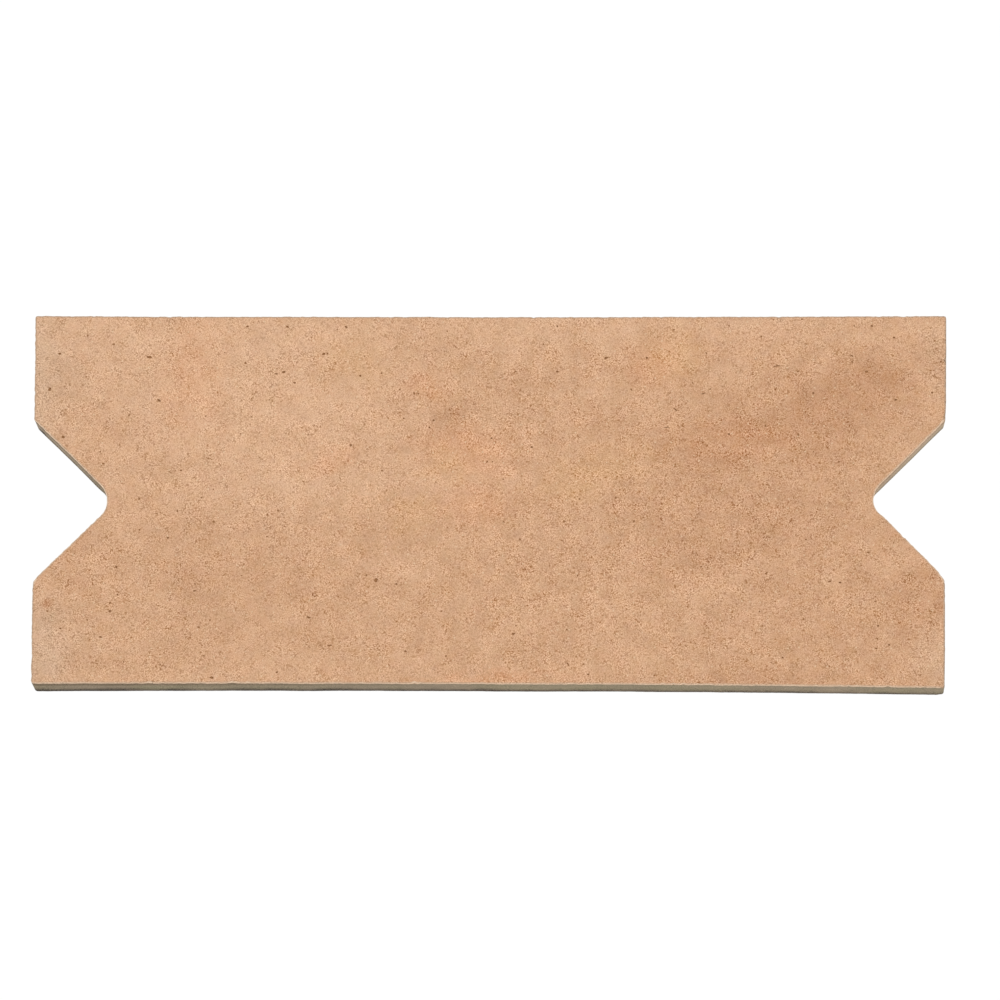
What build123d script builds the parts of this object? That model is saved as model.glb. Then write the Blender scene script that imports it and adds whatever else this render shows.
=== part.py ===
from build123d import *
from math import atan2, cos, degrees, floor, radians, sin, tan
import os

# Porcelain tile with a V notch in each short end, dry-pressed and fired as one piece.
# It lies face up on its back. X runs along its length, Y across its width and Z up, and the origin is the
# middle of the back. Two such ends facing each other leave a square opening, set on its corner, for a small
# insert tile.

# Overall size, in millimetres, over the widest line of the walls
tile_length = 250.0
tile_width = 103.5
tile_thickness = 10.0

# Outline, at the widest line of the walls
notch_opening = 44.5  # across the mouth of a notch, where its flanks meet the tile's end
notch_angle = 90.0  # degrees between the two flanks of a notch
notch_root_radius = 6.0
notch_lip_radius = 1.2
corner_radius = 0.8

# Walls: they flare from the face down to the parting line of the press, then turn in to the back
parting_height = 2.3
wall_flare = 0.2  # how far the parting line stands out past the face
foot_inset = 0.8  # how far the back stands in from the parting line
arris_radius = 0.45  # easing of the edge round the face

# Keyed back: shallow cells between the ribs that the mortar grips
cell_length = 19.0
cell_width = 16.5
cell_corner_radius = 2.0
rib_width = 4.5
relief_depth = 0.8
relief_draft = 20.0  # degrees that the cell walls lean
back_margin = 6.5  # plain border between the cells and the edge of the back

# Worked out from the sizes above
half_length = tile_length / 2
half_width = tile_width / 2
half_opening = notch_opening / 2
half_notch_angle = radians(notch_angle / 2)
notch_depth = half_opening / tan(half_notch_angle)  # to the point where the flanks would meet
wall_height = tile_thickness - parting_height
wall_taper = degrees(atan2(wall_flare, wall_height))
foot_taper = degrees(atan2(foot_inset, parting_height))
column_pitch = cell_length + rib_width
row_pitch = cell_width + rib_width


def cells_each_side(half_size, pitch):
    """How many cells fit between the centre rib and the plain border at one edge of the back."""
    room = half_size - foot_inset - back_margin - rib_width / 2
    return floor((room + rib_width) / pitch)


def centres(count, pitch):
    """Cell centres along one axis, as many on each side of the centre rib."""
    return [side * (2 * i + 1) * pitch / 2 for i in range(count) for side in (-1, 1)]


def clears_notch(x, y):
    """True where a cell leaves the plain border between itself and the flank of the nearest notch."""
    corner_x = abs(x) + cell_length / 2
    corner_y = abs(y) - cell_width / 2
    past_point = corner_x - (half_length - notch_depth)
    gap = corner_y * cos(half_notch_angle) - past_point * sin(half_notch_angle)
    return gap >= foot_inset + back_margin


columns = centres(cells_each_side(half_length, column_pitch), column_pitch)
rows = centres(cells_each_side(half_width, row_pitch), row_pitch)
cell_places = [(x, y) for x in columns for y in rows if clears_notch(x, y)]

with BuildPart() as tile:
    # Outline at the parting line: a rectangle with a rhombus cut out of the middle of each short end
    with BuildSketch(Plane.XY.offset(parting_height)) as outline:
        Rectangle(tile_length, tile_width)
        with Locations((half_length, 0), (-half_length, 0)):
            Polygon(
                (notch_depth, 0),
                (0, half_opening),
                (-notch_depth, 0),
                (0, -half_opening),
                align=None,
                mode=Mode.SUBTRACT,
            )
        fillet(outline.vertices().group_by(Axis.Y)[2], radius=notch_root_radius)
        levels = outline.vertices().group_by(Axis.Y)
        fillet(levels[1] + levels[-2], radius=notch_lip_radius)
        levels = outline.vertices().group_by(Axis.Y)
        fillet(levels[0] + levels[-1], radius=corner_radius)
    extrude(amount=wall_height, taper=wall_taper)
    extrude(outline.sketch, amount=-parting_height, taper=foot_taper)

    # Eased arris all round the face
    face = tile.faces().sort_by(Axis.Z)[-1]
    fillet(face.edges(), radius=arris_radius)

    # Keyed back
    with BuildSketch(Plane.XY):
        with Locations(*cell_places):
            RectangleRounded(cell_length, cell_width, cell_corner_radius)
    extrude(amount=relief_depth, taper=relief_draft, mode=Mode.SUBTRACT)

tile.part.label = "tile"
os.makedirs("parts", exist_ok=True)
export_step(tile.part, "parts/tile.step")
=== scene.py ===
import math
import random

import bmesh
import bpy
from bpy.props import FloatProperty, FloatVectorProperty, IntProperty, PointerProperty
from mathutils import Matrix, Vector, noise


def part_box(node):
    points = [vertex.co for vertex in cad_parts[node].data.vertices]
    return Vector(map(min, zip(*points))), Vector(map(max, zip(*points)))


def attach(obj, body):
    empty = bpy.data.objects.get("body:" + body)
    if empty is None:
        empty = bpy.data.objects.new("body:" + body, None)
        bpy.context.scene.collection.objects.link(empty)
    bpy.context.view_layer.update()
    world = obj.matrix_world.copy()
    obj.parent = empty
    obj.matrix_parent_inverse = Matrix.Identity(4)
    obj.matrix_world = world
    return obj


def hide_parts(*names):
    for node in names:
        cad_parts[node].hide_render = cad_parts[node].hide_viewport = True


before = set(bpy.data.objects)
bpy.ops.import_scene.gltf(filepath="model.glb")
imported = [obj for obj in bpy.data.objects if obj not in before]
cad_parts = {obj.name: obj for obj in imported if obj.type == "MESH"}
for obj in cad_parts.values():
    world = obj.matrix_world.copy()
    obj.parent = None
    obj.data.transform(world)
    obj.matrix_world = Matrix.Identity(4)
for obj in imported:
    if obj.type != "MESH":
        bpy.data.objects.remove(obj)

bl_info = {
    "name": "Notched Porcelain Tile",
    "version": (1, 0, 0),
    "blender": (4, 5, 0),
    "location": "View3D > Sidebar > Tile",
    "description": "Models a fired porcelain tile with notched ends, finishes it and sets it in a studio",
    "category": "Add Mesh",
}

MM = 0.001
X, Y, Z = range(3)
HALF_RIGHT_ANGLE = math.radians(45)
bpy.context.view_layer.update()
TILE_LOW, TILE_HIGH = (Vector(corner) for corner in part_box("tile"))
HALF_LENGTH = (TILE_HIGH.x - TILE_LOW.x) / 2
HALF_WIDTH = (TILE_HIGH.y - TILE_LOW.y) / 2
THICKNESS = TILE_HIGH.z - TILE_LOW.z

# Pits in the face: x, y, length and width in millimetres, and the turn in degrees
LARGE_PORES = (
    (-92.5, 40, 1.5, 0.75, -10), (-120, 31.5, 1, 0.7, 60), (-117, 17.5, 0.9, 0.8, 0),
    (-90.5, 28, 1.1, 0.6, -40), (-117.5, 41, 0.8, 0.6, 0), (-66.5, 49, 0.7, 0.5, 30),
    (-67, 38.5, 0.7, 0.6, 0), (-56.5, 37, 1, 0.6, 20), (-58.5, 35.5, 0.8, 0.45, -10),
    (-53.5, 33, 0.8, 0.5, 0), (-55.5, 49.5, 0.8, 0.5, -30), (-39.5, 49.5, 0.9, 0.5, -40),
    (-45.5, 41.5, 0.9, 0.7, 0), (-35.5, 35, 0.7, 0.6, 0), (-15, 22.5, 0.6, 0.5, 0),
    (-16.5, 20.5, 0.5, 0.5, 0), (-37.5, 15.5, 0.8, 0.6, 50), (0.5, 17.5, 0.6, 0.5, 0),
    (18.5, 49.5, 0.55, 0.5, 0), (32, 40, 1.1, 0.6, 30), (18.5, 36.5, 0.7, 0.6, 0),
    (42.5, 40, 0.7, 0.6, 0), (50.5, 25.5, 1.3, 0.32, -45), (58.5, 30, 1.5, 0.26, 15),
    (47.5, 22, 1.5, 0.28, 5), (77.5, 37.5, 1.7, 0.32, 12), (99, 40.5, 0.95, 0.42, -35),
    (102.5, 37, 0.9, 0.5, 0), (110.5, 45.5, 0.6, 0.6, 0), (104.5, 49.5, 0.7, 0.5, 0),
    (88.5, 30, 0.6, 0.6, 0), (65.5, 19.5, 0.5, 0.5, 0), (11.5, 15, 0.6, 0.6, 0), (111, 28, 0.7, 0.5, 0),
    (121, 30, 0.7, 0.5, 0), (-84.5, 8.5, 0.6, 0.5, 0), (-87.5, -10.5, 0.7, 0.5, 20),
    (-102, -18.5, 0.8, 0.5, -60), (-101.5, -27, 0.5, 0.5, 0), (-103.5, -31.5, 0.9, 0.65, 30),
    (-117, -36, 0.6, 0.5, 0), (-106, -38.5, 0.8, 0.6, 0), (-80.5, -25.5, 0.8, 0.5, 0),
    (-75, -50, 1, 0.7, 0), (-31, -22.5, 1.2, 0.9, 60), (-25, -24.5, 0.7, 0.5, 0),
    (-49.5, -33, 1.1, 0.5, -25), (-43.5, -41.5, 1.2, 0.5, 10), (-22.5, -42.5, 0.7, 0.6, 0),
    (-57.5, -48.5, 0.7, 0.5, 40), (6.5, -37.5, 0.8, 0.6, 0), (21.5, -46, 1.1, 0.5, -60),
    (27, -49.5, 0.7, 0.5, 0), (92.5, -23, 1.1, 0.5, 10), (96, -24, 0.8, 0.5, 0), (74, -31, 0.5, 0.5, 0),
    (106.5, -35, 0.6, 0.5, 0), (109.5, -40, 0.6, 0.5, 0), (106, -41, 0.8, 0.4, -20),
    (80, -44.5, 0.6, 0.5, 0),
)

# Bites out of the arris: x, y, radius and depth in millimetres, and whether dark inside
# Chips marked dark take the pore material inside: painted shade in their hollow
CHIPS = (
    (109.3, -51.9, 0.75, 0.5, True), (47.6, -51.6, 0.7, 0.3, False), (50.4, -51.6, 0.6, 0.25, False),
    (53.2, -51.7, 0.8, 0.3, False), (98.6, -51.9, 0.7, 0.3, False), (124.9, 39.2, 0.9, 0.35, False),
    (-20.5, -51.4, 0.7, 0.3, False), (-88, 51.7, 0.8, 0.25, False), (-124.8, 30, 0.7, 0.25, False),
    (-66, -51.4, 0.6, 0.25, False), (12, 51.6, 0.7, 0.25, False), (79, 51.7, 0.9, 0.25, False),
    (124.6, 22.4, 1.9, 0.28, False), (124.9, -21.6, 2.4, 0.35, False), (-124.9, -22.3, 1.6, 0.25, False),
)

# Clouds of colour on the face, laid over each other in this order: a tint, and for
# each cloud x, y and half sizes in millimetres, turn in degrees, and strength
CLOUDS = (
    ("light", (
        (-70, 34, 84, 46, 6, 0.72), (-60, 4, 44, 16, 4, 0.5), (-112, 47, 32, 13, -4, 0.68),
        (16, 48, 40, 13, 0, 0.62), (74, 50, 60, 6, 0, 0.5), (-14, 6, 46, 13, 4, 0.5),
        (-105, 6, 10, 7, 0, 0.4), (-35, 43, 12, 8, 0, 0.6), (-84, -47, 46, 8, 0, 0.25),
        (-27, 14, 9, 7, 0, 0.3), (-96, -9, 10, 7, 0, 0.4), (84, -10, 14, 6, 0, 0.28))),
    ("dark", (
        (88, 24.5, 47, 20, 14, 0.7), (58, 17, 30, 12, 6, 0.42), (108, 32, 19, 10, 22, 0.4),
        (71, -5, 52, 23, -6, 0.38), (118, -29, 15, 13, 0, 0.5), (-8, 25, 9, 7, 20, 0.45),
        (46, -18, 15, 9, 0, 0.35), (80, -50, 46, 5, 0, 0.42), (83, -36, 44, 14, 0, 0.24),
        (-66, -21, 42, 11, 0, 0.17), (27, 23.5, 8, 7, 0, 0.3), (91, 10, 14, 7, 0, 0.32),
        (-98, 21, 25, 8, 4, 0.18), (-111, -24, 8, 6, 0, 0.3), (101, -22, 10, 6, 0, 0.28),
        (114, -47, 14, 7, 0, 0.3))),
    ("light", (
        (67, 34, 11, 7, 0, 0.3), (27, 30, 24, 6, 12, 0.28), (-73, -32, 11, 6, 0, 0.2),
        (58, -38, 9, 6, 0, 0.2), (-22.5, -19, 7, 6, 30, 0.3), (-55.5, -45, 12, 8, 0, 0.3))),
    ("red", (
        (-81, 36, 15, 24, 0, 0.34), (-17, 33, 11, 8, 0, 0.35), (-5, 14, 23, 11, 0, 0.48),
        (-43, 12.5, 12, 6, 10, 0.35), (-4, -1, 18, 10, 0, 0.4), (44, 38, 11, 11, 0, 0.42),
        (67, 17, 20, 9, 0, 0.2), (2, -49.5, 30, 3, 0, 0.38))),
    ("ochre", (
        (50, 41, 12, 12, 0, 0.5), (-38, 39, 16, 12, 0, 0.4), (28, 8, 26, 11, 20, 0.5),
        (-22, -3, 10, 8, 0, 0.4), (-12, 9, 11, 7, 0, 0.5))),
    ("ash", (
        (-127, 34, 19, 28, 0, 0.72), (-127, -41, 23, 23, 0, 0.75), (127, 42, 12, 24, 0, 0.35),
        (126, -44, 15, 16, 0, 0.42))),
    ("dark", (
        (-120.8, -28.6, 2.6, 1.9, 10, 0.95), (33.2, -26.7, 3.2, 2.4, 0, 0.45))),
)

# Clouds under this half size, in millimetres, keep their place instead of wandering
SPOT_SIZE = 4.0

# Small round specks of the face: colour, offset of their pattern and spacing in metres, share and strength
SPECKS = (
    ("pore_colour", (0.0, 0.0, 0.0), 2.2 * MM, 0.2, 0.36),
    ("speck_colour", (0.013, 0.007, 0.0), 2.6 * MM, 0.5, 0.62),
)
SPECK_RADIUS = 0.24 * MM

# Directions of colour: a step of brightness that looks even on the face's ground, and steps to red and yellow
TONE_SHIFT = (1.01, 0.75, 0.545)
RED_SHIFT = (0.05, -0.02, -0.03)
YELLOW_SHIFT = (0.0, 0.0, -0.04)

# Fine changes of hue in the face: offset of the noise that makes one, and its direction
HUES = (((0.0, 0.0, 0.0), RED_SHIFT), ((0.31, 0.17, 0.0), YELLOW_SHIFT))

# Middle of a noise, as a number and as a vector, and the share of each axis in a flat and a layered pattern
MIDDLE = 0.5
MIDDLE_VECTOR = (MIDDLE, MIDDLE, MIDDLE)
FLAT = (1.0, 1.0, 0.0)
LAYERED = (0.1, 0.1, 1.0)


def band(low, high, origin=0.0):
    """The two ends of a fade, given in millimetres from an origin in metres."""
    return (origin + low * MM, origin + high * MM)


# Fades across and along the tile
NOTCH_MOUTH = band(22.2, 23.2)
END_WALLS = band(43.0, 51.0)
NOTCHED_PART = band(-22.0, -20.5, HALF_LENGTH)
ROUND_ROOT = band(3.0, 6.0)
WHOLE_LENGTH = (-HALF_LENGTH, HALF_LENGTH)
RIGHT_END = band(-2.5, -1.2, HALF_LENGTH)
FAR_SIDE = band(-2.5, -1.0, HALF_WIDTH)
FRONT_WALL = band(1.5, 4.0, -HALF_WIDTH)
SIDE_RIM = band(-2.5, -1.5, HALF_WIDTH)
END_RIM = band(-4.0, -3.0, HALF_LENGTH)
SHADED_PART = band(-110.0, 20.0)
LOWER_FOOT_PART = band(0.0, 110.0)

# Fades over the height of the walls and of the arris
OFF_BACK = band(0.95, 1.6)
OFF_CELLS = band(0.85, 1.4)
OFF_GROUND = band(0.05, 0.3)
# Height of the darker foot: painted contact shadow with some soil
FOOT_SHADE_AND_SOIL = band(2.7, 6.0)
WALL_SHADE_HEIGHT = band(2.5, 8.5)
# Height of the painted light's warmth on the right end's walls
WARM_HEIGHT = band(4.5, 8.0)
PALE_BAND_FOOT = band(4.6, 5.6)
PALE_BAND_TOP = band(6.6, 7.6)
# Height of the painted shade under the arris
UNDER_ARRIS_SHADE = band(-3.2, -1.6, THICKNESS)
# Heights of the cream line, partly wear and partly painted highlight, and of the painted shade on the right
# end's arris
LINE_TOP = band(-0.16, -0.06, THICKNESS)
LINE_FOOT = band(-0.45, -0.32, THICKNESS)
NOTCH_LINE_TOP = band(-0.11, -0.04, THICKNESS)
END_LINE_TOP = band(-0.16, -0.04, THICKNESS)

# The darkest mark, a painted shadow at the foot of one lip
LIP_SHADOW_PLACE = (-122.3 * MM, 20.3 * MM, 2.8 * MM)
LIP_SHADOW_HALF_SIZE = (2.0 * MM, 2.0 * MM, 4.2 * MM)

# Share of the face's grain that shows on the arris and on the walls
ARRIS_GRAIN = 0.6
WALL_GRAIN = 0.45

# Painted light on the end walls: all of them, the right ones besides, and a paler band half way up
END_LIGHT_TONE = 0.075
RIGHT_END_LIGHT_TONE = 0.06
PALE_BAND_LIGHT_TONE = 0.03

# Painted shade under the arris at the ends: the least of it, and how much is taken off
END_SHADE = 0.7
END_SHADE_LOSS = 0.15

# Heights in millimetres at which the walls' mesh is cut
WALL_CUTS = (1.2, 3.5, 5.0, 6.5, 7.8, 8.7)

# Fractal noises of the rim and the face: smoothness, ratio between scales, and number of scales
SLOW_RIM = (1.0, 2.0, 3)
QUICK_RIM = (0.8, 2.0, 2)
FACE_WAVE = (1.0, 2.0, 2)

# Edges that turn by more than this look sharp
SHARP_ANGLE = math.radians(28)

# Places nearer than this count as one, in the whole mesh and in the finer cuts of the back
TOUCH = 1e-6
BACK_TOUCH = 1e-7


def srgb(red, green, blue):
    """A colour given as screen values from 0 to 255, as the scene's linear colour."""
    def linear(value):
        value /= 255
        return value / 12.92 if value <= 0.04045 else ((value + 0.055) / 1.055) ** 2.4
    return (linear(red), linear(green), linear(blue))


def sized(name, description, millimetres):
    """Property for a length."""
    return FloatProperty(name=name, description=description, default=millimetres * MM, unit="LENGTH")


def coloured(name, description, *screen):
    """Property for a colour, given as screen values."""
    return FloatVectorProperty(name=name, description=description, subtype="COLOR", default=srgb(*screen))


class TileShape(bpy.types.PropertyGroup):
    """Sizes of the tile's body, in metres."""
    notch_opening: sized("Notch Opening", "Across the mouth of a notch", 44.5)
    notch_root_radius: sized("Root Radius", "Rounding at the bottom of a notch", 6.0)
    notch_lip_radius: sized("Lip Radius", "Rounding where a notch meets the end", 1.2)
    corner_radius: sized("Corner Radius", "Rounding of the four corners", 0.8)
    parting_height: sized("Parting Height", "Height of the widest line of the walls", 2.3)
    wall_flare: sized("Wall Flare", "How far the widest line stands out past the face", 0.2)
    foot_inset: sized("Foot Inset", "How far the back stands in from the widest line", 0.8)
    arris_radius: sized("Arris Radius", "Easing of the edge round the face", 0.45)
    cell_length: sized("Cell Length", "Length of a cell in the keyed back", 19.0)
    cell_width: sized("Cell Width", "Width of a cell in the keyed back", 16.5)
    cell_corner_radius: sized("Cell Corner", "Rounding of a cell's corners", 2.0)
    rib_width: sized("Rib Width", "Width of the ribs between the cells", 4.5)
    relief_depth: sized("Relief Depth", "Depth of the cells", 0.8)
    relief_draft: FloatProperty(
        name="Relief Draft", description="Lean of the cell walls", default=math.radians(20), subtype="ANGLE")
    back_margin: sized("Back Margin", "Plain border of the back", 6.5)
    face_pitch: sized("Face Pitch", "Spacing of the face's mesh", 2.5)
    arris_wander: sized("Arris Wander", "How far the arris strays from a straight line", 0.11)
    chip_depth: sized("Chip Depth", "Depth of the small chips along the arris", 0.35)
    face_swell: sized("Face Swell", "Height of the slow waves in the face", 0.05)
    pore_depth: sized("Pore Depth", "Depth of a pit in the face", 0.22)
    small_pores: IntProperty(
        name="Small Pores", description="Number of small pits strewn over the face", default=110, min=0)
    seed: IntProperty(name="Seed", description="Start of the random draws", default=11, min=0)
    left_lean: sized("Left Lean", "How far the left end's wall leans in at its foot", 1.35)
    right_lean: sized("Right Lean", "How far the right end's wall leans in at the foot of its lips", 0.75)
    left_flank_lean: sized("Left Flank Lean", "How far the left notch's walls lean in at their foot", 0.2)
    right_flank_lean: sized("Right Flank Lean", "How far the right notch's walls lean in at their foot", 0.11)
    root_lean: sized("Root Lean", "How much further the walls lean in at the roots of the notches", 0.6)
    corner_ease: sized("Corner Ease", "How far the foot of the right front corner is rounded off", 0.35)
    left_skew: sized("Left Skew", "How far the left end's corners stray along the tile", 0.35)
    right_skew: sized("Right Skew", "How far the right end's corners stray along the tile", 0.5)
    front_bow: sized("Front Bow", "How far the front side runs out towards the right end", 1.0)
    front_draw: sized("Front Draw", "How far the face stands back from the foot along the front", 0.55)
    left_draw: sized("Left Draw", "How much further the face stands back at the left end of the front", 0.2)
    front_hollow: sized("Front Hollow", "How far the front side is hollow in its left half", 0.16)
    right_draw: sized("Right Draw", "How much shorter the right end came out", 0.2)
    back_hollow: sized("Back Hollow", "How far the middle of the back side hangs behind its ends", 0.3)
    left_notch_depth: sized("Left Notch Depth", "How much deeper the left notch came out", 0.4)
    right_notch_draw: sized("Right Notch Draw", "How much shallower the right notch came out", 0.1)
    left_far_stray: sized("Left Far Stray", "How far the left notch's far flank strays back", 0.26)
    left_near_stray: sized("Left Near Stray", "How far the left notch's near lip strays forward", 0.42)
    right_far_stray: sized("Right Far Stray", "How far the right notch's far flank strays back", 0.14)
    right_near_stray: sized("Right Near Stray", "How far the right notch's near flank strays back", 0.95)


class TileFinish(bpy.types.PropertyGroup):
    """Colours and grain of the fired tile."""
    face_colour: coloured("Face", "Middle tone of the face", 210, 165, 129)
    light_tint: coloured("Light Cloud", "Tint of the pale clouds", 222, 179, 144)
    dark_tint: coloured("Dark Cloud", "Tint of the brown clouds", 192, 143, 107)
    red_tint: coloured("Red Cloud", "Tint of the pink clouds", 219, 161, 121)
    ochre_tint: coloured("Ochre Cloud", "Tint of the yellow clouds", 214, 168, 124)
    ash_tint: coloured("Ash Cloud", "Tint of the paler, greyer ends", 212, 176, 145)
    # Pore: painted shade inside the pits and dark chips, and the real colour of the dark specks
    pore_colour: coloured("Pore", "Inside of the pits, and the dark specks", 141, 100, 65)
    speck_colour: coloured("Pale Speck", "Pale grains in the face", 236, 205, 170)
    # Cream: partly wear and partly painted highlight along the arris
    cream_wear_and_highlight_colour: coloured("Cream", "Worn lower half of the arris", 223, 194, 166)
    rub_colour: coloured("Rub", "Rubbed upper half of the arris", 199, 164, 134)
    # Painted shade on the arris along the right end
    end_shade_colour: coloured("End Line", "Arris along the right end", 167, 135, 107)
    body_colour: coloured("Body", "Fired body on the walls and the back", 154, 137, 115)
    body_olive_colour: coloured("Olive Body", "Greener patches of the body", 151, 138, 111)
    # Painted shade on the walls just under the arris
    under_arris_shade_colour: coloured("Dark Body", "Body under the arris", 128, 110, 88)
    # Foot: painted contact shadow with some soil, at the foot of the walls
    foot_shade_and_soil_colour: coloured("Foot", "Soiled foot of the walls", 101, 87, 74)
    # Painted shadow at the foot of one lip
    lip_shadow_colour: coloured("Lip Shadow", "Darkest soil, at the foot of one lip", 46, 38, 30)
    sand_size: sized("Sand Size", "Spacing of the grains in the face", 0.4)
    sand_contrast: FloatProperty(
        name="Sand Contrast", description="How far the grains differ from the gaps between them", default=0.4)
    dust_size: sized("Dust Size", "Size of the dust on the grains", 0.285)
    dust_contrast: FloatProperty(
        name="Dust Contrast", description="How far the dust differs from its ground", default=0.47)


class TileStudio(bpy.types.PropertyGroup):
    """Camera, floor and light round the tile."""
    distance: FloatProperty(
        name="Camera Distance", description="From the camera to the point it aims at", default=5.0,
        unit="LENGTH")
    tilt: FloatProperty(
        name="Camera Tilt", description="Lean of the view from straight down", default=math.radians(11.5),
        subtype="ANGLE")
    lens: FloatProperty(name="Lens", description="Focal length in millimetres", default=657.7)
    aim: FloatVectorProperty(
        name="Aim", description="Point in the middle of the picture", subtype="TRANSLATION",
        default=(2.83 * MM, 1.2 * MM, 5.0 * MM))
    floor_size: FloatProperty(
        name="Floor Size", description="Half the side of the floor", default=6.0, unit="LENGTH")
    floor_gap: sized("Floor Gap", "How far the floor lies under the tile", 0.1)
    lamp_power: FloatProperty(name="Lamp Power", description="Power of the soft lamp in watts", default=28.4)
    lamp_size: FloatProperty(
        name="Lamp Size", description="Side of the soft lamp", default=1.6, unit="LENGTH")
    lamp_place: FloatVectorProperty(
        name="Lamp Place", description="Where the soft lamp hangs", subtype="TRANSLATION",
        default=(0.45, -0.3, 2.15))
    sky_strength: FloatProperty(name="Sky", description="Light from all round", default=0.5)


class NodeBench:
    """Adds nodes to one node tree, with values or links on their sockets."""

    def __init__(self, tree):
        self.tree = tree

    def add(self, kind, sockets=None, **settings):
        """A node with its settings made and its sockets filled."""
        node = self.tree.nodes.new(kind)
        for name, value in settings.items():
            setattr(node, name, value)
        for key, value in (sockets or {}).items():
            self.plug(node.inputs[key], value)
        return node

    def plug(self, socket, value):
        """Links an output to a socket, or sets the socket's own value."""
        if isinstance(value, bpy.types.NodeSocket):
            self.tree.links.new(value, socket)
        elif socket.type == "RGBA" and len(value) == 3:
            socket.default_value = (*value, 1.0)
        else:
            socket.default_value = value

    def math(self, operation, first, *others):
        """Values taken together one after another, or an operation on one value."""
        for other in others or (0.0,):
            first = self.add("ShaderNodeMath", {0: first, 1: other}, operation=operation).outputs[0]
        return first

    def times(self, *values):
        return self.math("MULTIPLY", *values)

    def plus(self, *values):
        return self.math("ADD", *values)

    def most(self, *values):
        return self.math("MAXIMUM", *values)

    def vector(self, operation, first, second=None, scale=None):
        """Result of a vector operation."""
        node = self.add("ShaderNodeVectorMath", {0: first}, operation=operation)
        if second is not None:
            self.plug(node.inputs[1], second)
        if scale is not None:
            self.plug(node.inputs["Scale"], scale)
        return node.outputs["Value" if operation == "LENGTH" else "Vector"]

    def axes(self, position):
        """The three coordinates of a position, by name."""
        return self.add("ShaderNodeSeparateXYZ", {"Vector": position}).outputs

    def blend(self, factor, first, second):
        """A colour between two colours."""
        return self.add("ShaderNodeMix", {0: factor, 6: first, 7: second}, data_type="RGBA").outputs[2]

    def mix(self, factor, first, second):
        """A number between two numbers."""
        return self.add("ShaderNodeMix", {0: factor, 2: first, 3: second}, data_type="FLOAT").outputs[0]

    def step(self, value, low, high, start=0.0, end=1.0):
        """A smooth step, from its start where the value is low to its end where it is high."""
        sockets = {"Value": value, "From Min": low, "From Max": high, "To Min": start, "To Max": end}
        return self.add("ShaderNodeMapRange", sockets, interpolation_type="SMOOTHSTEP").outputs["Result"]

    def fall(self, value, low, high):
        """A smooth step down from 1 to 0."""
        return self.step(value, low, high, start=1.0, end=0.0)

    def noise(self, position, scale, detail=2.0, roughness=0.6):
        """Noise as a value from 0 to 1; its node has it as a colour too."""
        sockets = {"Vector": position, "Scale": scale, "Detail": detail, "Roughness": roughness}
        return self.add("ShaderNodeTexNoise", sockets).outputs["Fac"]

    def spread(self, value, window, reach, about=0.0):
        """A noise, as far as a window each side of its middle, turned into a reach each side of a number."""
        return self.step(value, MIDDLE - window, MIDDLE + window, start=about - reach, end=about + reach)

    def shifted(self, colour, amount, direction):
        """The colour moved by an amount along a direction of colour."""
        return self.vector("ADD", colour, second=self.vector("SCALE", direction, scale=amount))

    def toned(self, colour, tone):
        """The colour made lighter or darker by a tone, evenly to the eye."""
        return self.shifted(colour, tone, TONE_SHIFT)


def new_group(name, inputs, outputs):
    """An empty shader node group, its bench, and the sockets of what it is given and results in."""
    tree = bpy.data.node_groups.new(name, "ShaderNodeTree")
    for way, sockets in (("INPUT", inputs), ("OUTPUT", outputs)):
        for socket, kind in sockets.items():
            tree.interface.new_socket(socket, in_out=way, socket_type=f"NodeSocket{kind}")
    bench = NodeBench(tree)
    return tree, bench, bench.add("NodeGroupInput").outputs, bench.add("NodeGroupOutput").inputs


def group_node(bench, tree, sockets):
    """The outputs of a node of the group with its sockets filled."""
    return bench.add("ShaderNodeGroup", sockets, node_tree=tree).outputs


def grain_node(bench, groups, finish, place):
    """The outputs of a node of the fired grain with the finish's sizes and contrasts."""
    return group_node(bench, groups["grain"], {
        "Position": place, "Sand Size": finish.sand_size, "Sand Contrast": finish.sand_contrast,
        "Dust Size": finish.dust_size, "Dust Contrast": finish.dust_contrast})


def cloud_group():
    """Mask of one soft-edged cloud: its strength in the middle and 0 outside it."""
    core = 0.15
    tree, bench, given, result = new_group(
        "cloud", {"Position": "Vector", "Centre": "Vector", "Half Size": "Vector", "Turn": "Vector",
                  "Strength": "Float"}, {"Mask": "Float"})
    local = bench.add(
        "ShaderNodeMapping",
        {"Vector": given["Position"], "Location": given["Centre"], "Rotation": given["Turn"],
         "Scale": given["Half Size"]}, vector_type="TEXTURE").outputs["Vector"]
    mask = bench.fall(bench.vector("LENGTH", local), core, 1.0)
    bench.plug(result["Mask"], bench.times(mask, given["Strength"]))
    return tree


def grain_group():
    """Sandy grain of a fired surface, pale grains with dust on them, as a tone round 0 and as a height."""
    middle_gap = 0.52
    tree, bench, given, result = new_group(
        "fired grain", {"Position": "Vector", "Sand Size": "Float", "Sand Contrast": "Float",
                        "Dust Size": "Float", "Dust Contrast": "Float"}, {"Tone": "Float", "Height": "Float"})
    place = given["Position"]
    sand_scale = bench.math("DIVIDE", 1.0, given["Sand Size"])
    dust_scale = bench.math("DIVIDE", 1.0, given["Dust Size"])
    gap = bench.add("ShaderNodeTexVoronoi", {"Vector": place, "Scale": sand_scale}).outputs["Distance"]
    dust = bench.noise(place, dust_scale, detail=0.0)
    broad = bench.noise(place, scale=45.0, detail=3.0, roughness=0.8)
    close = bench.noise(place, scale=330.0)
    sand_tone = bench.times(bench.math("SUBTRACT", middle_gap, gap), given["Sand Contrast"])
    dust_tone = bench.times(bench.math("SUBTRACT", dust, MIDDLE), given["Dust Contrast"])
    tone = bench.times(
        bench.plus(sand_tone, dust_tone), bench.spread(broad, window=0.25, reach=0.25, about=1.0),
        bench.spread(close, window=0.25, reach=0.5, about=1.0))
    bench.plug(result["Tone"], tone)
    bench.plug(result["Height"], bench.math("SUBTRACT", dust, gap))
    return tree


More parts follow.
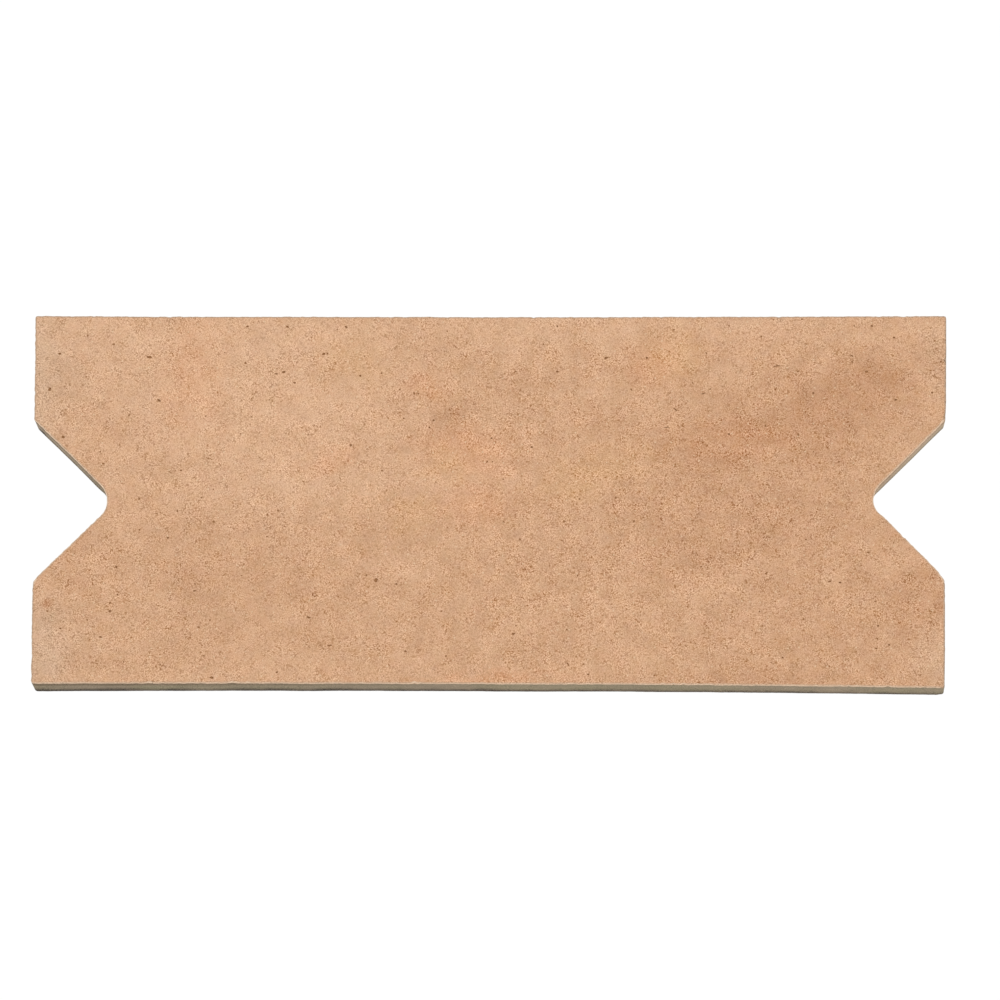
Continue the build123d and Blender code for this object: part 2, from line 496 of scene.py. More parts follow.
def speck_group():
    """Mask of small round specks, one here and there in a grid of cells."""
    least_size, size_range = 0.45, 0.7
    soft_edge = (0.5, 1.2)
    tree, bench, given, result = new_group(
        "specks", {"Position": "Vector", "Spacing": "Float", "Share": "Float", "Radius": "Float"},
        {"Mask": "Float"})
    scale = bench.math("DIVIDE", 1.0, given["Spacing"])
    cells = bench.add(
        "ShaderNodeTexVoronoi", {"Vector": given["Position"], "Scale": scale},
        voronoi_dimensions="2D").outputs
    draw = bench.add("ShaderNodeSeparateColor", {"Color": cells["Color"]}).outputs
    kept = bench.math("LESS_THAN", draw["Red"], given["Share"])
    size = bench.plus(bench.times(draw["Green"], size_range), least_size)
    edge = bench.math("DIVIDE", cells["Distance"], bench.times(given["Radius"], size, scale))
    bench.plug(result["Mask"], bench.times(bench.fall(edge, *soft_edge), kept))
    return tree


def print_group(finish, groups):
    """Colour of the terracotta face, with its clouds, grain and specks, and the grain's height."""
    drift_reach = 16.0 * MM
    tree, bench, given, result = new_group(
        "terracotta print", {"Position": "Vector"}, {"Colour": "Color", "Height": "Float"})
    place = given["Position"]
    drift = bench.noise(place, scale=55.0, detail=3.0).node.outputs["Color"]
    drift = bench.vector("SCALE", bench.vector("SUBTRACT", drift, second=MIDDLE_VECTOR), scale=drift_reach)
    wandered = bench.vector("MULTIPLY", bench.vector("ADD", place, second=drift), second=FLAT)
    colour = finish.face_colour
    for kind, clouds in CLOUDS:
        for x, y, half_x, half_y, turn, strength in clouds:
            mask = group_node(bench, groups["cloud"], {
                "Position": place if half_x < SPOT_SIZE else wandered, "Centre": (x * MM, y * MM, 0.0),
                "Half Size": (half_x * MM, half_y * MM, 1.0), "Turn": (0.0, 0.0, math.radians(turn)),
                "Strength": strength})["Mask"]
            colour = bench.blend(mask, colour, getattr(finish, f"{kind}_tint"))
    blotch = bench.spread(bench.noise(place, scale=160.0, detail=2.5), window=0.3, reach=0.05)
    grain = grain_node(bench, groups, finish, place)
    colour = bench.toned(colour, bench.plus(grain["Tone"], blotch))
    for offset, direction in HUES:
        hue = bench.noise(bench.vector("ADD", place, second=offset), scale=340.0, detail=3.0)
        colour = bench.shifted(colour, bench.math("SUBTRACT", hue, MIDDLE), direction)
    for kind, offset, spacing, share, strength in SPECKS:
        mask = group_node(bench, groups["specks"], {
            "Position": bench.vector("ADD", place, second=offset), "Spacing": spacing, "Share": share,
            "Radius": SPECK_RADIUS})["Mask"]
        colour = bench.blend(bench.times(mask, strength), colour, getattr(finish, kind))
    bench.plug(result["Colour"], colour)
    bench.plug(result["Height"], grain["Height"])
    return tree


def new_material(name, roughness):
    """A material with a Principled shader, its bench, the shader's inputs and the object coordinates."""
    material = bpy.data.materials.new(name)
    material.use_nodes = True
    bench = NodeBench(material.node_tree)
    shader = material.node_tree.nodes["Principled BSDF"].inputs
    shader["Roughness"].default_value = roughness
    shader["Specular IOR Level"].default_value = 0.25
    place = bench.add("ShaderNodeTexCoord").outputs["Object"]
    return material, bench, shader, place


def roughen(bench, shader, height, depth):
    """Gives the shader a fine relief from a height."""
    bump = bench.add("ShaderNodeBump", {"Height": height, "Strength": 0.6, "Distance": depth})
    bench.plug(shader["Normal"], bump.outputs["Normal"])


def face_material(finish, groups):
    """Matt terracotta face."""
    material, bench, shader, place = new_material("terracotta face", roughness=0.85)
    pattern = group_node(bench, groups["print"], {"Position": place})
    bench.plug(shader["Base Color"], pattern["Colour"])
    roughen(bench, shader, pattern["Height"], depth=0.015 * MM)
    return material


def end_mask(bench, axes, fade):
    """1 at the tile's two ends, fading out with the distance from its middle line, and 0 on the back."""
    across = bench.fall(bench.math("ABSOLUTE", axes["Y"]), *fade)
    inward = bench.step(bench.math("ABSOLUTE", axes["X"]), *NOTCHED_PART)
    return bench.times(across, inward, bench.step(axes["Z"], *OFF_BACK))


def arris_material(finish, groups):
    """Eased edge round the face: rubbed above, cream below of wear and painted highlight, painted shade along
    the right end.
    """
    material, bench, shader, place = new_material("worn arris with painted highlight", roughness=0.85)
    axes = bench.axes(place)
    in_notch = end_mask(bench, axes, NOTCH_MOUTH)
    grain = grain_node(bench, groups, finish, place)
    wear = bench.spread(bench.noise(place, scale=500.0), window=0.2, reach=0.05 * MM)
    height = bench.plus(axes["Z"], wear)
    # Cream line: partly wear, partly painted highlight, with less of it on the far side and in the right
    # notch
    line = bench.times(bench.fall(height, *LINE_TOP), bench.step(height, *LINE_FOOT, start=0.35))
    notch_line = bench.times(
        bench.fall(height, *NOTCH_LINE_TOP), bench.step(axes["X"], *WHOLE_LENGTH, start=1.0, end=0.65))
    cream = bench.times(
        bench.mix(in_notch, line, notch_line), bench.step(axes["Y"], *FAR_SIDE, start=1.0, end=0.1))
    colour = bench.blend(cream, finish.rub_colour, finish.cream_wear_and_highlight_colour)
    # Painted shade on the arris along the right end, outside the notch
    end = bench.times(
        bench.step(axes["X"], *RIGHT_END), bench.step(height, *END_LINE_TOP, start=1.0, end=0.1),
        bench.math("SUBTRACT", 1.0, in_notch))
    colour = bench.blend(end, colour, finish.end_shade_colour)
    # Painted highlight: the cream line in the notches lighter, most near the roots and at the left end
    worn = bench.times(
        bench.step(bench.math("ABSOLUTE", axes["Y"]), *ROUND_ROOT, start=0.14, end=0.09),
        bench.step(axes["X"], *WHOLE_LENGTH, start=1.45, end=1.0))
    tone = bench.plus(bench.times(grain["Tone"], ARRIS_GRAIN), bench.times(in_notch, cream, worn))
    bench.plug(shader["Base Color"], bench.toned(colour, tone))
    roughen(bench, shader, grain["Height"], depth=0.012 * MM)
    return material


def body_material(finish, groups):
    """Fired body of walls and back, with painted shade under the arris and a foot of painted shadow and soil.
    """
    material, bench, shader, place = new_material("fired body", roughness=0.9)
    axes = bench.axes(place)
    along, height = axes["X"], axes["Z"]
    at_end = end_mask(bench, axes, END_WALLS)
    lit_right_end = bench.times(at_end, bench.math("GREATER_THAN", along, 0.0))
    grain = grain_node(bench, groups, finish, place)
    patch = bench.noise(place, scale=45.0, detail=3.0)
    stain = bench.noise(place, scale=110.0, detail=3.0)
    streak = bench.noise(bench.vector("MULTIPLY", place, second=LAYERED), scale=800.0)
    olive = bench.spread(patch, window=0.15, reach=0.5, about=0.5)
    colour = bench.blend(olive, finish.body_colour, finish.body_olive_colour)

    # Painted shade under the arris, strongest towards the left
    dark = bench.most(
        bench.step(along, *SHADED_PART, start=1.0, end=0.15), bench.times(at_end, END_SHADE))
    dark = bench.math("SUBTRACT", dark, bench.times(at_end, END_SHADE_LOSS))
    under = bench.times(bench.step(height, *UNDER_ARRIS_SHADE), dark)
    colour = bench.blend(under, colour, finish.under_arris_shade_colour)

    # Darker foot: painted contact shadow with some soil, its top lower towards the right
    shade_and_soil_height = bench.plus(
        height, bench.spread(stain, window=0.2, reach=0.5 * MM),
        bench.step(along, *LOWER_FOOT_PART, end=0.7 * MM))
    rim = bench.times(
        bench.most(bench.step(bench.math("ABSOLUTE", axes["Y"]), *SIDE_RIM),
                   bench.step(bench.math("ABSOLUTE", along), *END_RIM)),
        bench.step(height, *OFF_GROUND))
    foot = bench.times(
        bench.fall(shade_and_soil_height, *FOOT_SHADE_AND_SOIL), bench.most(rim, bench.step(height, *OFF_CELLS)),
        bench.step(axes["Y"], *FRONT_WALL, start=1.0, end=0.6),
        bench.step(at_end, 0.0, 1.0, start=1.0, end=1.2))
    colour = bench.blend(foot, colour, finish.foot_shade_and_soil_colour)

    # Painted light: the end and notch walls lighter, the right ones more so and warmer in their upper half
    pale_band = bench.times(bench.step(height, *PALE_BAND_FOOT), bench.fall(height, *PALE_BAND_TOP))
    tone = bench.plus(
        bench.times(grain["Tone"], WALL_GRAIN), bench.spread(stain, window=0.25, reach=0.02),
        # Painted light and shade: walls lighter towards the right end and darker towards the foot
        bench.step(along, *WHOLE_LENGTH, start=-0.01, end=0.02),
        bench.step(height, *WALL_SHADE_HEIGHT, start=-0.04, end=0.0),
        bench.spread(streak, window=0.2, reach=0.025), bench.times(at_end, pale_band, PALE_BAND_LIGHT_TONE),
        bench.times(at_end, END_LIGHT_TONE), bench.times(lit_right_end, RIGHT_END_LIGHT_TONE))
    lit_warmth = bench.times(lit_right_end, bench.step(height, *WARM_HEIGHT, end=0.4))
    colour = bench.toned(bench.shifted(colour, lit_warmth, RED_SHIFT), tone)

    # Painted shadow at the foot of one lip, laid over the rest
    lip_shadow = group_node(bench, groups["cloud"], {
        "Position": place, "Centre": LIP_SHADOW_PLACE, "Half Size": LIP_SHADOW_HALF_SIZE, "Strength": 1.0})["Mask"]
    bench.plug(shader["Base Color"], bench.blend(lip_shadow, colour, finish.lip_shadow_colour))
    roughen(bench, shader, grain["Height"], depth=0.02 * MM)
    return material


def pore_material(finish, groups):
    """Inside of a pit and of the dark chips, darkened with painted shade."""
    paler = 1.5
    material, bench, shader, place = new_material("pore", roughness=0.95)
    stain = bench.noise(place, scale=900.0, detail=1.0, roughness=0.5)
    pale = tuple(channel * paler for channel in finish.pore_colour)
    bench.plug(shader["Base Color"], bench.blend(stain, finish.pore_colour, pale))
    return material


FACE, ARRIS, BODY, PORE = range(4)


def tile_materials(finish):
    """The tile's materials, in the order of its slots."""
    groups = {"cloud": cloud_group(), "grain": grain_group(), "specks": speck_group()}
    groups["print"] = print_group(finish, groups)
    makers = {FACE: face_material, ARRIS: arris_material, BODY: body_material, PORE: pore_material}
    return [makers[slot](finish, groups) for slot in sorted(makers)]


def round_points(bm, points, radius, half_turn, segments):
    """Rounds the outline at the given points, whose edges turn by twice half_turn."""
    bmesh.ops.bevel(
        bm, geom=points, offset=radius * math.tan(half_turn), offset_type="ABSOLUTE", segments=segments,
        profile=0.5, affect="VERTICES", material=-1)


def outline_face(bm, shape):
    """The tile's plan at the widest line of its walls, as one face."""
    half_opening = shape.notch_opening / 2
    root = HALF_LENGTH - half_opening
    plan = (
        (-HALF_LENGTH, -HALF_WIDTH), (HALF_LENGTH, -HALF_WIDTH), (HALF_LENGTH, -half_opening), (root, 0.0),
        (HALF_LENGTH, half_opening), (HALF_LENGTH, HALF_WIDTH), (-HALF_LENGTH, HALF_WIDTH),
        (-HALF_LENGTH, half_opening), (-root, 0.0), (-HALF_LENGTH, -half_opening))
    corners = [bm.verts.new((x, y, shape.parting_height)) for x, y in plan]
    bm.faces.new(corners)
    ends = [corners[i] for i in (0, 1, 5, 6)]
    lips = [corners[i] for i in (2, 4, 7, 9)]
    roots = [corners[i] for i in (3, 8)]
    round_points(bm, ends, shape.corner_radius, HALF_RIGHT_ANGLE, segments=3)
    round_points(bm, lips, shape.notch_lip_radius, HALF_RIGHT_ANGLE / 2, segments=3)
    round_points(bm, roots, shape.notch_root_radius, HALF_RIGHT_ANGLE, segments=14)
    return bm.faces[:][0]


def cut_plane(bm, geom, axis, place, touch):
    """Cuts part of the mesh by a plane across an axis."""
    normal = Vector((0.0, 0.0, 0.0))
    normal[axis] = 1.0
    bmesh.ops.bisect_plane(bm, geom=geom, dist=touch, plane_co=normal * place, plane_no=normal)


def cut_across(bm, axis, places):
    """Cuts the whole mesh by planes across an axis."""
    for place in places:
        cut_plane(bm, bm.verts[:] + bm.edges[:] + bm.faces[:], axis, place, TOUCH)


def even_places(half_size, pitch):
    """Places of evenly spaced cuts between two ends, none at the ends."""
    count = round(2 * half_size / pitch)
    return [half_size * (2 * i / count - 1) for i in range(1, count)]


def facing_down(bm, edges):
    """A face that fills a loop of edges, turned to look down."""
    face = bmesh.ops.edgeloop_fill(bm, edges=edges)["faces"][0]
    face.normal_update()
    if face.normal.z > 0:
        bmesh.ops.reverse_faces(bm, faces=[face])
        face.normal_update()
    return face


def pressed_shell(bm, shape):
    """Walls and face of the tile, open at the back, with an eased arris and a mesh fine enough to shape."""
    top = outline_face(bm, shape)
    rise = THICKNESS - shape.parting_height
    bmesh.ops.inset_region(
        bm, faces=[top], thickness=shape.wall_flare, depth=rise, use_even_offset=True, use_boundary=True)
    foot = facing_down(bm, [edge for edge in bm.edges if edge.is_boundary])
    bmesh.ops.inset_region(
        bm, faces=[foot], thickness=shape.foot_inset, depth=shape.parting_height, use_even_offset=True)
    bmesh.ops.delete(bm, geom=[foot], context="FACES_ONLY")
    bmesh.ops.bevel(
        bm, geom=top.edges[:], offset=shape.arris_radius, offset_type="OFFSET", segments=4, profile=0.5,
        affect="EDGES", material=-1, clamp_overlap=False)
    cut_across(bm, Z, [height * MM for height in WALL_CUTS])
    cut_across(bm, X, even_places(HALF_LENGTH, shape.face_pitch))
    cut_across(bm, Y, even_places(HALF_WIDTH, shape.face_pitch))


def mark_slots(bm, shape):
    """Gives each face of the shell its material slot by its place and slope."""
    bm.normal_update()
    level = 0.99
    arris_foot = THICKNESS - shape.arris_radius
    for face in bm.faces:
        if face.normal.z > level:
            face.material_index = FACE
        elif face.calc_center_median().z > arris_foot:
            face.material_index = ARRIS
        else:
            face.material_index = BODY


def refine_rim(bm):
    """Divides the level edges of the walls and the arris, so that the rim can be roughened."""
    short, long = 0.8 * MM, 1.6 * MM
    rim = [
        edge for edge in bm.edges
        if abs(edge.verts[0].co.z - edge.verts[1].co.z) < TOUCH
        and any(face.material_index != FACE for face in edge.link_faces)]
    long_edges = [edge for edge in rim if edge.calc_length() > long]
    short_edges = [edge for edge in rim if short < edge.calc_length() <= long]
    bmesh.ops.subdivide_edges(bm, edges=long_edges, cuts=4, use_grid_fill=True)
    short_edges = [edge for edge in short_edges if edge.is_valid]
    bmesh.ops.subdivide_edges(bm, edges=short_edges, cuts=1, use_grid_fill=True)


def pit(bm, face, centre, length, width, turn, depth, draw):
    """Sinks one pit into a flat face of the mesh."""
    margin, unevenness, wall_share = 0.15 * MM, 0.2, 0.14
    bmesh.ops.inset_individual(bm, faces=[face], thickness=margin, use_even_offset=True)
    bmesh.ops.subdivide_edges(bm, edges=face.edges[:], cuts=2)
    cosine, sine = math.cos(turn), math.sin(turn)
    ring = [loop.vert for loop in face.loops]
    first = math.atan2(ring[0].co.y - centre.y, ring[0].co.x - centre.x)
    for i, vert in enumerate(ring):
        angle = first + 2 * math.pi * i / len(ring) - turn
        reach = 1 + draw.uniform(-unevenness, unevenness)
        x, y = length / 2 * math.cos(angle) * reach, width / 2 * math.sin(angle) * reach
        vert.co.x = centre.x + x * cosine - y * sine
        vert.co.y = centre.y + x * sine + y * cosine
    walls = bmesh.ops.inset_individual(
        bm, faces=[face], thickness=width * wall_share, depth=-depth, use_even_offset=True)
    # The pit's walls and floor take the pore material: painted shade in the hollow
    for wall in (*walls["faces"], face):
        wall.material_index = PORE


def sink_pores(bm, shape):
    """Sinks the pits picked by hand and the strewn small ones, one to a square of the face's mesh."""
    draw = random.Random(shape.seed)
    small_sizes, stretch, small_depth = (0.3, 0.55), (1.0, 1.6), 0.45
    room_share, least_rooms = 0.625, 2.2

    def square_at(x, y):
        return (math.floor(x / shape.face_pitch), math.floor(y / shape.face_pitch))

    squares = {}
    for face in bm.faces:
        if face.material_index == FACE and len(face.verts) == 4:
            squares[square_at(*face.calc_center_median().xy)] = face
    wanted = [(x * MM, y * MM, a * MM, b * MM, math.radians(turn), 1.0) for x, y, a, b, turn in LARGE_PORES]
    for _ in range(shape.small_pores):
        size = draw.uniform(*small_sizes) * MM
        wanted.append((
            draw.uniform(-HALF_LENGTH, HALF_LENGTH), draw.uniform(-HALF_WIDTH, HALF_WIDTH),
            size * draw.uniform(*stretch), size, draw.uniform(0, math.pi), small_depth))
    for x, y, length, width, turn, deep in wanted:
        face = squares.pop(square_at(x, y), None)
        if face is None:
            continue
        low_x, high_x = min(v.co.x for v in face.verts), max(v.co.x for v in face.verts)
        low_y, high_y = min(v.co.y for v in face.verts), max(v.co.y for v in face.verts)
        room = length * room_share
        if min(high_x - low_x, high_y - low_y) < least_rooms * room:
            continue
        centre = Vector((
            min(max(x, low_x + room), high_x - room), min(max(y, low_y + room), high_y - room), THICKNESS))
        pit(bm, face, centre, length, width, turn, shape.pore_depth * deep, draw)


def key_back(bm, shape):
    """Closes the back and sinks the cells that the mortar grips."""
    facing_down(bm, [edge for edge in bm.edges if edge.is_boundary]).material_index = BODY
    half_sizes = (shape.cell_length / 2, shape.cell_width / 2)
    edge_room = shape.foot_inset + shape.back_margin
    centres = []
    for half_size, half_cell in zip((HALF_LENGTH, HALF_WIDTH), half_sizes):
        pitch = 2 * half_cell + shape.rib_width
        count = math.floor((half_size - edge_room + shape.rib_width / 2) / pitch)
        centres.append([side * (i + 0.5) * pitch for i in range(count) for side in (-1, 1)])
    for axis, half_cell in enumerate(half_sizes):
        for place in [centre + side * half_cell for centre in centres[axis] for side in (-1, 1)]:
            faces = [face for face in bm.faces if face.calc_center_median().z < TOUCH]
            geom = dict.fromkeys(faces)
            for face in faces:
                geom.update(dict.fromkeys([*face.edges, *face.verts]))
            cut_plane(bm, list(geom), axis, place, BACK_TOUCH)
    root = HALF_LENGTH - shape.notch_opening / 2
    cells = []
    for face in bm.faces:
        middle = face.calc_center_median()
        if middle.z > TOUCH:
            continue
        on_grid = all(min(abs(middle[axis] - place) for place in centres[axis]) < MM for axis in (X, Y))
        corner_x = abs(middle.x) + half_sizes[X]
        corner_y = abs(middle.y) - half_sizes[Y]
        if on_grid and (corner_y - (corner_x - root)) * math.cos(HALF_RIGHT_ANGLE) >= edge_room:
            cells.append(face)
    bmesh.ops.inset_individual(
        bm, faces=cells, thickness=shape.relief_depth * math.tan(shape.relief_draft),
        depth=-shape.relief_depth, use_even_offset=True)
    corners = {}
    for cell in cells:
        for vert in cell.verts:
            corners.update(dict.fromkeys(edge for edge in vert.link_edges if edge not in cell.edges[:]))
    bmesh.ops.bevel(
        bm, geom=list(corners), offset=shape.cell_corner_radius, offset_type="OFFSET", segments=4,
        profile=0.5, affect="EDGES", material=-1, clamp_overlap=True)


def ease(value, low, high):
    """Smooth step from 0 at low to 1 at high."""
    share = min(max((value - low) / (high - low), 0.0), 1.0)
    return share * share * (3 - 2 * share)


def plan_normal(vert):
    """Outward direction of a rim vertex in plan, or None where it faces straight up."""
    upright = 1e-3
    outward = Vector((vert.normal.x, vert.normal.y, 0.0))
    return outward.normalized() if outward.length > upright else None


def lean_walls(bm, shape):
    """Leans the walls of the notches and the ends in towards the foot, keeping their lips in line."""
    bm.normal_update()
    least_drop, lip_reach, mouth_slack, corner_reach = 0.01, 8.0 * MM, 0.5 * MM, 2.2 * MM
    end_fade, root_fade = band(-5.0, -1.0, HALF_LENGTH), band(4.4, 2.0)
    half_opening = shape.notch_opening / 2
    root = HALF_LENGTH - half_opening
    corner = Vector((HALF_LENGTH, -HALF_WIDTH))
    for vert in bm.verts:
        drop = 1 - vert.co.z / THICKNESS
        outward = plan_normal(vert)
        if outward is None or drop < least_drop:
            continue
        right, far = math.copysign(1, vert.co.x), math.copysign(1, vert.co.y)
        lean, flank = shape.left_lean, shape.left_flank_lean
        if right > 0:
            lean, flank = shape.right_lean, shape.right_flank_lean
        at_end = ease(abs(vert.co.x), *end_fade)
        at_lip = ease(abs(vert.co.y), half_opening + lip_reach, half_opening)
        end_move = Vector((-right * lean, -far * (lean - math.sqrt(2) * flank) * at_lip, 0.0))
        if right > 0:
            end_move *= at_lip
        in_notch = abs(vert.co.x) > root and abs(vert.co.y) < half_opening + mouth_slack
        at_root = ease(abs(vert.co.y), *root_fade)
        flank_move = -outward * (flank + shape.root_lean * at_root) if in_notch else Vector()
        gap = (vert.co.xy - corner).length / corner_reach
        eased = outward * shape.corner_ease * max(0.0, 1 - gap * gap)
        vert.co += (end_move * at_end + flank_move * (1 - at_end) - eased) * drop


def rim_move(vert, outward, shape):
    """How a vertex of the rim wanders, and is bitten by chips if it lies on the arris."""
    slow_scale, quick_scale, slow_share = 90.0, 900.0, 0.6
    chip_scale, chip_offset, chip_start, chip_gain = 420.0, Vector((3.0, 7.0, 1.0)), 0.42, 1.7
    arris_share, chip_drop = 1.2, 0.6
    along = Vector((vert.co.x, vert.co.y, 0.0))
    slow = noise.fractal(along * slow_scale, *SLOW_RIM) * slow_share
    quick = noise.fractal(along * quick_scale, *QUICK_RIM)
    push = (slow + quick * (vert.co.z / THICKNESS)) * shape.arris_wander
    bite = 0.0
    if vert.co.z > THICKNESS - shape.arris_radius * arris_share:
        chance = noise.noise(along * chip_scale + chip_offset) - chip_start
        bite = max(0.0, chance) * chip_gain * shape.chip_depth
    for x, y, radius, depth, _ in CHIPS:
        gap = (vert.co - Vector((x * MM, y * MM, THICKNESS))).length / (radius * MM)
        bite = max(bite, (1 - gap * gap) * depth * MM)
    return outward * (push - bite) - Vector((0.0, 0.0, bite * chip_drop))


def wear_edges(bm, shape):
    """Lets the rim wander, chips the arris here and there and swells the face."""
    bm.normal_update()
    foot_height, wave_scale, dark_share = 0.5 * MM, 30.0, 0.7
    moves = {}
    for vert in bm.verts:
        if vert.co.z < foot_height:
            continue
        if any(face.material_index in (ARRIS, BODY) for face in vert.link_faces):
            outward = plan_normal(vert)
            if outward is not None:
                moves[vert] = rim_move(vert, outward, shape)
        elif vert.co.z > THICKNESS / 2:
            wave = noise.fractal(vert.co * wave_scale, *FACE_WAVE)
            moves[vert] = Vector((0.0, 0.0, -abs(wave) * shape.face_swell))
    for vert, move in moves.items():
        vert.co += move
    # Faces of the chips marked dark take the pore material: painted shade in their hollow
    for x, y, radius, depth, dark in CHIPS:
        middle = Vector((x * MM, y * MM, THICKNESS - depth * MM))
        for face in bm.faces if dark else ():
            reach = (face.calc_center_median() - middle).length
            if face.material_index in (ARRIS, BODY) and reach < radius * MM * dark_share:
                face.material_index = PORE


def fire_warp(bm, shape):
    """Lets the plan stray from true, as firing does: skewed ends, a bowed front and uneven notches."""
    notch_reach, right_fade = 20.0 * MM, 8
    hollow_middle, hollow_reach, hollow_level = -0.45, 0.5, 0.55
    left_spread, right_spread = 2, 4
    half_opening = shape.notch_opening / 2
    root = HALF_LENGTH - half_opening
    for vert in bm.verts:
        along, across, level = vert.co.x / HALF_LENGTH, vert.co.y / HALF_WIDTH, vert.co.z / THICKNESS
        right, left = max(0.0, along), max(0.0, -along)
        back, front = max(0.0, across), max(0.0, -across)
        at_notch = ease(abs(vert.co.x), root - notch_reach, root)
        at_notch *= ease(abs(vert.co.y), half_opening + notch_reach, half_opening)
        shift_x = across * (shape.right_skew * right + shape.left_skew * left) - shape.right_draw * right
        draw = level * (shape.front_draw * (1 - right / right_fade) + shape.left_draw * left ** 2)
        hollow = shape.front_hollow * max(0.0, 1 - ((along - hollow_middle) / hollow_reach) ** 2)
        shift_y = front * (draw + hollow - shape.front_bow * right ** 2)
        shift_y += back * shape.back_hollow * (along ** 2 - hollow_level)
        lip = min(abs(vert.co.y) / half_opening, 1.0)
        if along < 0:
            depth = shape.left_notch_depth
            far_stray = shape.left_far_stray * min(left_spread * lip, 1.0)
            stray = far_stray if across > 0 else -shape.left_near_stray * lip ** 2
        else:
            depth = shape.right_notch_draw
            stray = shape.right_far_stray if across > 0 else shape.right_near_stray
            stray *= min(right_spread * lip, 1.0)
        shift_x += depth * at_notch * (1 - lip)
        shift_y += stray * at_notch
        vert.co.x += shift_x
        vert.co.y += shift_y


class OBJECT_OT_add_notched_tile(bpy.types.Operator):
    """Model the fired tile and finish it"""
    bl_idname = "object.add_notched_tile"
    bl_label = "Add Notched Tile"
    bl_options = {"REGISTER", "UNDO"}

    def execute(self, context):
        shape = context.scene.notched_tile_shape
        bm = bmesh.new()
        pressed_shell(bm, shape)
        mark_slots(bm, shape)
        sink_pores(bm, shape)
        refine_rim(bm)
        lean_walls(bm, shape)
        wear_edges(bm, shape)
        key_back(bm, shape)
        fire_warp(bm, shape)
        for face in bm.faces:
            face.smooth = True
        mesh = bpy.data.meshes.new("fired_tile")
        bm.to_mesh(mesh)
        bm.free()
        mesh.set_sharp_from_angle(angle=SHARP_ANGLE)
        for material in tile_materials(context.scene.notched_tile_finish):
            mesh.materials.append(material)
        piece = bpy.data.objects.new("fired_tile", mesh)
        context.scene.collection.objects.link(piece)
        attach(piece, "root")
        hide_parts("tile")
        return {"FINISHED"}


def seen_rays(bench):
    """1 for the rays that show a thing, straight or in a mirror or glass, and 0 for those that light it."""
    rays = bench.add("ShaderNodeLightPath").outputs
    return bench.most(rays["Is Camera Ray"], rays["Is Glossy Ray"], rays["Is Transmission Ray"])


def floor_material():
    """White, softly glowing table that keeps a faint shadow, and lets a view from underneath through."""
    lit_glow, seen_glow = 0.6, 0.96
    material = bpy.data.materials.new("studio floor")
    material.cycles.emission_sampling = "NONE"
    material.use_nodes = True
    material.node_tree.nodes.clear()
    bench = NodeBench(material.node_tree)
    matt = bench.add("ShaderNodeBsdfDiffuse", {"Color": (0.92, 0.92, 0.92)})
    white = bench.add("ShaderNodeEmission", {"Color": (1.0, 1.0, 1.0), "Strength": 1.03})
    glow = bench.mix(seen_rays(bench), lit_glow, seen_glow)
    shown = bench.add("ShaderNodeMixShader", {0: glow, 1: matt.outputs[0], 2: white.outputs[0]})
    clear = bench.add("ShaderNodeBsdfTransparent")
    under = bench.add("ShaderNodeNewGeometry").outputs["Backfacing"]
    surface = bench.add("ShaderNodeMixShader", {0: under, 1: shown.outputs[0], 2: clear.outputs[0]})
    bench.add("ShaderNodeOutputMaterial", {"Surface": surface.outputs[0]})
    return material


def light_sky(scene, strength):
    """Even light from all round, seen as plain white."""
    world = bpy.data.worlds.new("studio")
    scene.world = world
    world.use_nodes = True
    bench = NodeBench(world.node_tree)
    sky = world.node_tree.nodes["Background"]
    sky.inputs["Color"].default_value = (1.0, 1.0, 1.0, 1.0)
    bench.plug(sky.inputs["Strength"], bench.mix(seen_rays(bench), strength, 1.0))


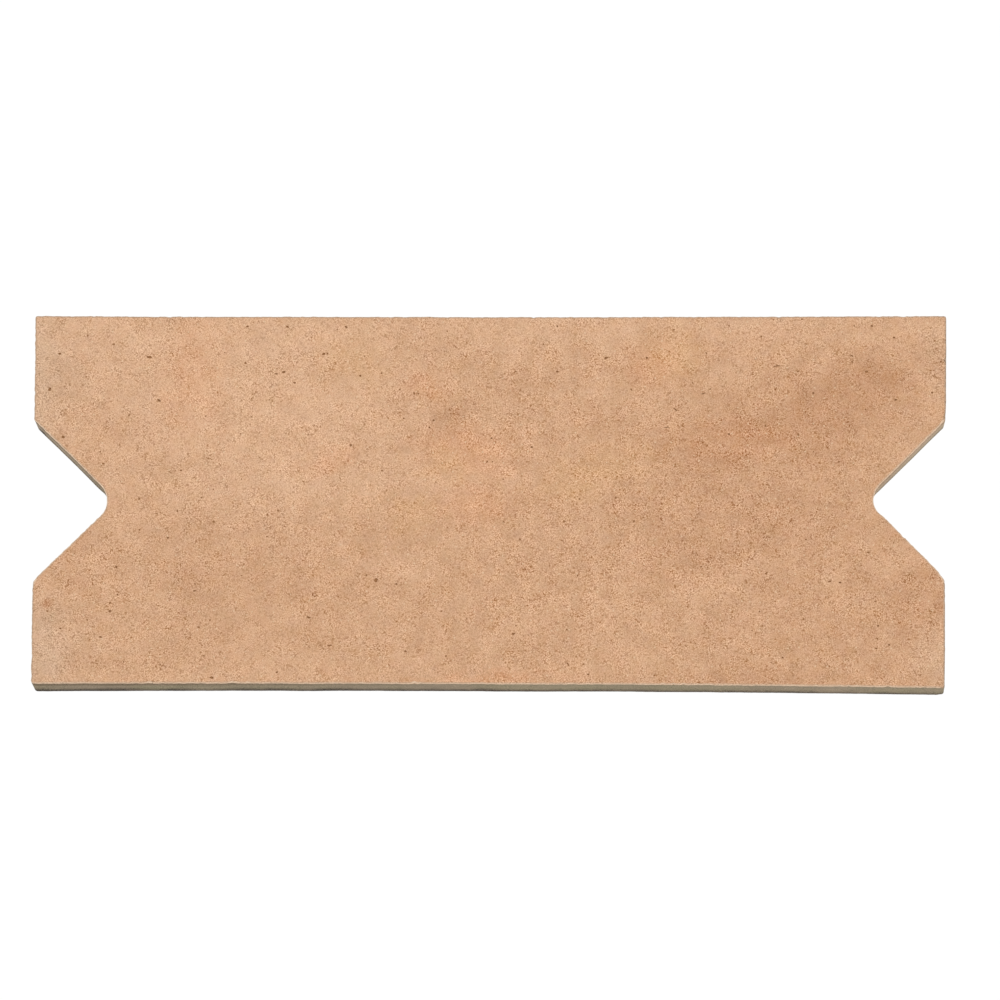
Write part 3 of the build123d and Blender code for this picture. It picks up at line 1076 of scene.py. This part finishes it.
class SCENE_OT_set_tile_studio(bpy.types.Operator):
    """Set the floor, the lamp, the sky and the camera round the tile"""
    bl_idname = "scene.set_tile_studio"
    bl_label = "Set Tile Studio"
    bl_options = {"REGISTER", "UNDO"}

    def execute(self, context):
        scene = context.scene
        studio = scene.notched_tile_studio
        bm = bmesh.new()
        bmesh.ops.create_grid(
            bm, x_segments=1, y_segments=1, size=studio.floor_size,
            matrix=Matrix.Translation((0.0, 0.0, -studio.floor_gap)))
        mesh = bpy.data.meshes.new("studio_floor")
        bm.to_mesh(mesh)
        bm.free()
        mesh.materials.append(floor_material())
        floor = bpy.data.objects.new("studio_floor", mesh)
        scene.collection.objects.link(floor)

        lamp = bpy.data.lights.new("soft_lamp", "AREA")
        lamp.size = studio.lamp_size
        lamp.energy = studio.lamp_power
        holder = bpy.data.objects.new("soft_lamp", lamp)
        holder.location = studio.lamp_place
        holder.rotation_euler = (-Vector(studio.lamp_place)).to_track_quat("-Z", "Y").to_euler()
        scene.collection.objects.link(holder)
        light_sky(scene, studio.sky_strength)

        camera = bpy.data.cameras.new("camera")
        camera.sensor_fit = "HORIZONTAL"
        camera.lens = studio.lens
        viewer = bpy.data.objects.new("camera", camera)
        back = Vector((0.0, -math.sin(studio.tilt), math.cos(studio.tilt)))
        viewer.location = Vector(studio.aim) + back * studio.distance
        viewer.rotation_euler = (studio.tilt, 0.0, 0.0)
        scene.collection.objects.link(viewer)
        scene.camera = viewer
        scene.view_settings.view_transform = "Standard"
        return {"FINISHED"}


class VIEW3D_PT_notched_tile(bpy.types.Panel):
    """Sizes, finish and studio of the tile"""
    bl_label = "Notched Tile"
    bl_idname = "VIEW3D_PT_notched_tile"
    bl_space_type = "VIEW_3D"
    bl_region_type = "UI"
    bl_category = "Tile"

    def draw(self, context):
        layout = self.layout
        layout.operator(OBJECT_OT_add_notched_tile.bl_idname)
        layout.operator(SCENE_OT_set_tile_studio.bl_idname)
        for name in GROUPS:
            group = getattr(context.scene, name)
            column = layout.column(align=True)
            for key in group.__annotations__:
                column.prop(group, key)


GROUPS = {
    "notched_tile_shape": TileShape,
    "notched_tile_finish": TileFinish,
    "notched_tile_studio": TileStudio,
}
CLASSES = (*GROUPS.values(), OBJECT_OT_add_notched_tile, SCENE_OT_set_tile_studio, VIEW3D_PT_notched_tile)


def register():
    for cls in CLASSES:
        bpy.utils.register_class(cls)
    for name, cls in GROUPS.items():
        setattr(bpy.types.Scene, name, PointerProperty(type=cls))


def unregister():
    for name in GROUPS:
        delattr(bpy.types.Scene, name)
    for cls in reversed(CLASSES):
        bpy.utils.unregister_class(cls)


def main():
    register()
    bpy.ops.object.add_notched_tile()
    bpy.ops.scene.set_tile_studio()


if __name__ == "__main__":
    main()
